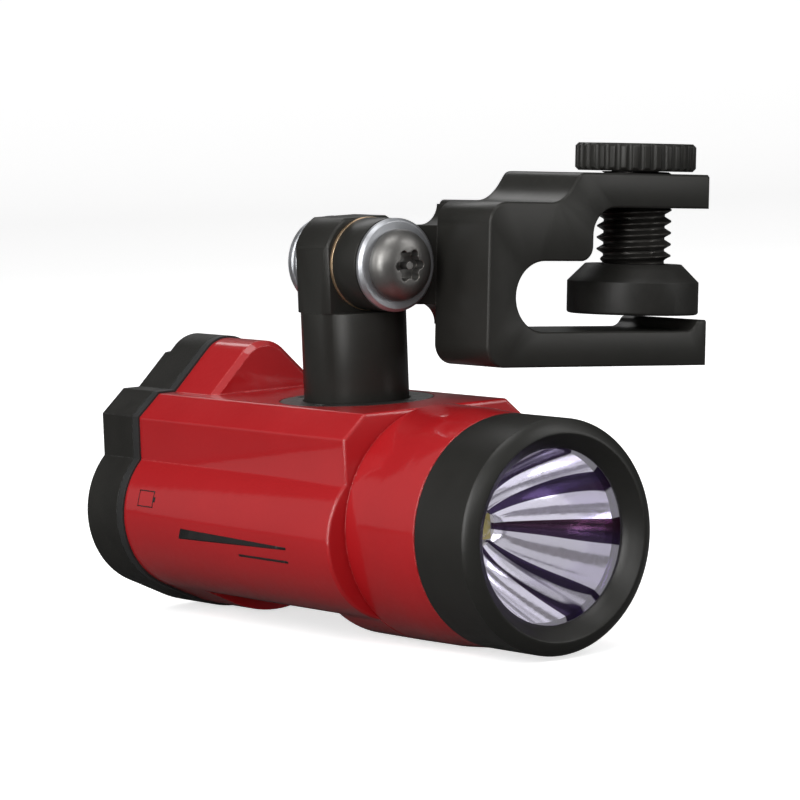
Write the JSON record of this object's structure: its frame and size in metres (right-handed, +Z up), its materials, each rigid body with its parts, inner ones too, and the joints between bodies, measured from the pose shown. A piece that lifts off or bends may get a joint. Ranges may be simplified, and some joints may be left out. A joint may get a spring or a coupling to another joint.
{
  "type": "helmet-mount firefighter flashlight",
  "caption": "Compact twin-cell firefighter flashlight on a swivelling, tilting post with a screw clamp that grips a helmet brim.",
  "frame": {"origin": "on the lamp axis directly below the swivel post's axis", "axes": "-Y along the beam (the lamp head faces -Y, the tail cap faces +Y); +Z up the swivel post; +X the side the clamp reaches out to at rest"},
  "size_m": [0.0825, 0.1057, 0.0794],
  "materials": {
    "red_coat": "gloss powder coat with slight orange peel",
    "black_anodised": "satin black anodise",
    "black_bezel": "satin black anodise, turned",
    "tail_black": "matt moulded",
    "seal_black": "matt",
    "lens_clear": "coated clear",
    "reflector_mirror": "vacuum-plated",
    "lamp_phosphor": "clear dome over phosphor",
    "board_white": "solder mask",
    "board_green": "solder mask",
    "bare_aluminium": "machined",
    "carrier_plastic": "moulded",
    "contact_brass": "polished",
    "spring_steel": "bright wire",
    "cell_wrap": "shrink wrap",
    "zinc_steel": "zinc plated",
    "black_steel": "black oxide",
    "bronze_washer": "plain bronze",
    "ring_grey": "worn black anodise",
    "tail_window": "translucent moulded",
    "button_rubber": "matt moulded",
    "pad_black": "matt black anodise"
  },
  "bodies": {
    "light": {"housing": "red_coat", "bezel_ring": "black_bezel", "lens_gasket": "seal_black", "front_lens": "lens_clear", "reflector": "reflector_mirror", "led_emitter": "lamp_phosphor", "led_board": "board_white", "heat_sink": "bare_aluminium", "driver_board": "board_green", "contact_carrier": "carrier_plastic", "cell_contacts": "contact_brass", "contact_springs": "spring_steel", "cell_left": "cell_wrap", "cell_right": "cell_wrap", "bezel_oring": "seal_black", "tail_gasket": "seal_black", "tail_cap": "tail_black", "tail_screws": "zinc_steel", "tail_contact_board": "board_green", "tail_contacts": "contact_brass", "switch_module": "carrier_plastic", "tail_leds": "lamp_phosphor", "tail_lens": "tail_window", "swivel_ring": "ring_grey", "thrust_washer": "bronze_washer"},
    "button": {"button_boot": "button_rubber", "button_plunger": "carrier_plastic"},
    "swivel_post": {"post": "black_anodised", "post_oring": "seal_black", "friction_washer": "bronze_washer", "pivot_washer": "zinc_steel", "back_washer": "zinc_steel", "spring_washer": "zinc_steel", "pivot_screw": "black_steel", "pivot_nut": "zinc_steel"},
    "clamp": {"clamp_bracket": "black_anodised"},
    "clamp_foot": {"foot_pad": "pad_black", "pad_retainer": "spring_steel"},
    "clamp_turnscrew": {"clamp_screw": "black_steel", "clamp_knob": "black_anodised"}
  },
  "joints": [
    {"name": "swivel", "type": "hinge", "parent": "light", "child": "swivel_post", "pos_m": [0, 0, 0.0191], "axis": [0, 0, 1], "range_deg": [-180, 45]},
    {"name": "tilt", "type": "hinge", "parent": "swivel_post", "child": "clamp", "pos_m": [0, 0, 0.04187], "axis": [0, 1, 0], "range_deg": [-100, 2]},
    {"name": "clamp_travel", "type": "slide", "parent": "clamp", "child": "clamp_foot", "axis": [0.0722, 0, 0.9974], "range_m": [-0.0003, 0.009]},
    {"name": "clamp_turn", "type": "hinge", "parent": "clamp_foot", "child": "clamp_turnscrew", "pos_m": [0.0479, -0.01565, 0.04154], "axis": [0.0722, 0, 0.9974], "range_deg": [-60, 1700]},
    {"name": "button_press", "type": "slide", "parent": "light", "child": "button", "axis": [0, -1, 0], "range_m": [0, 0.0012], "stiffness_N_per_m": 400, "springref_m": -0.0005}
  ],
  "couplings": [
    {"joint": "clamp_turn", "follows": "clamp_travel", "rad_per_m": 3215.8}
  ]
}
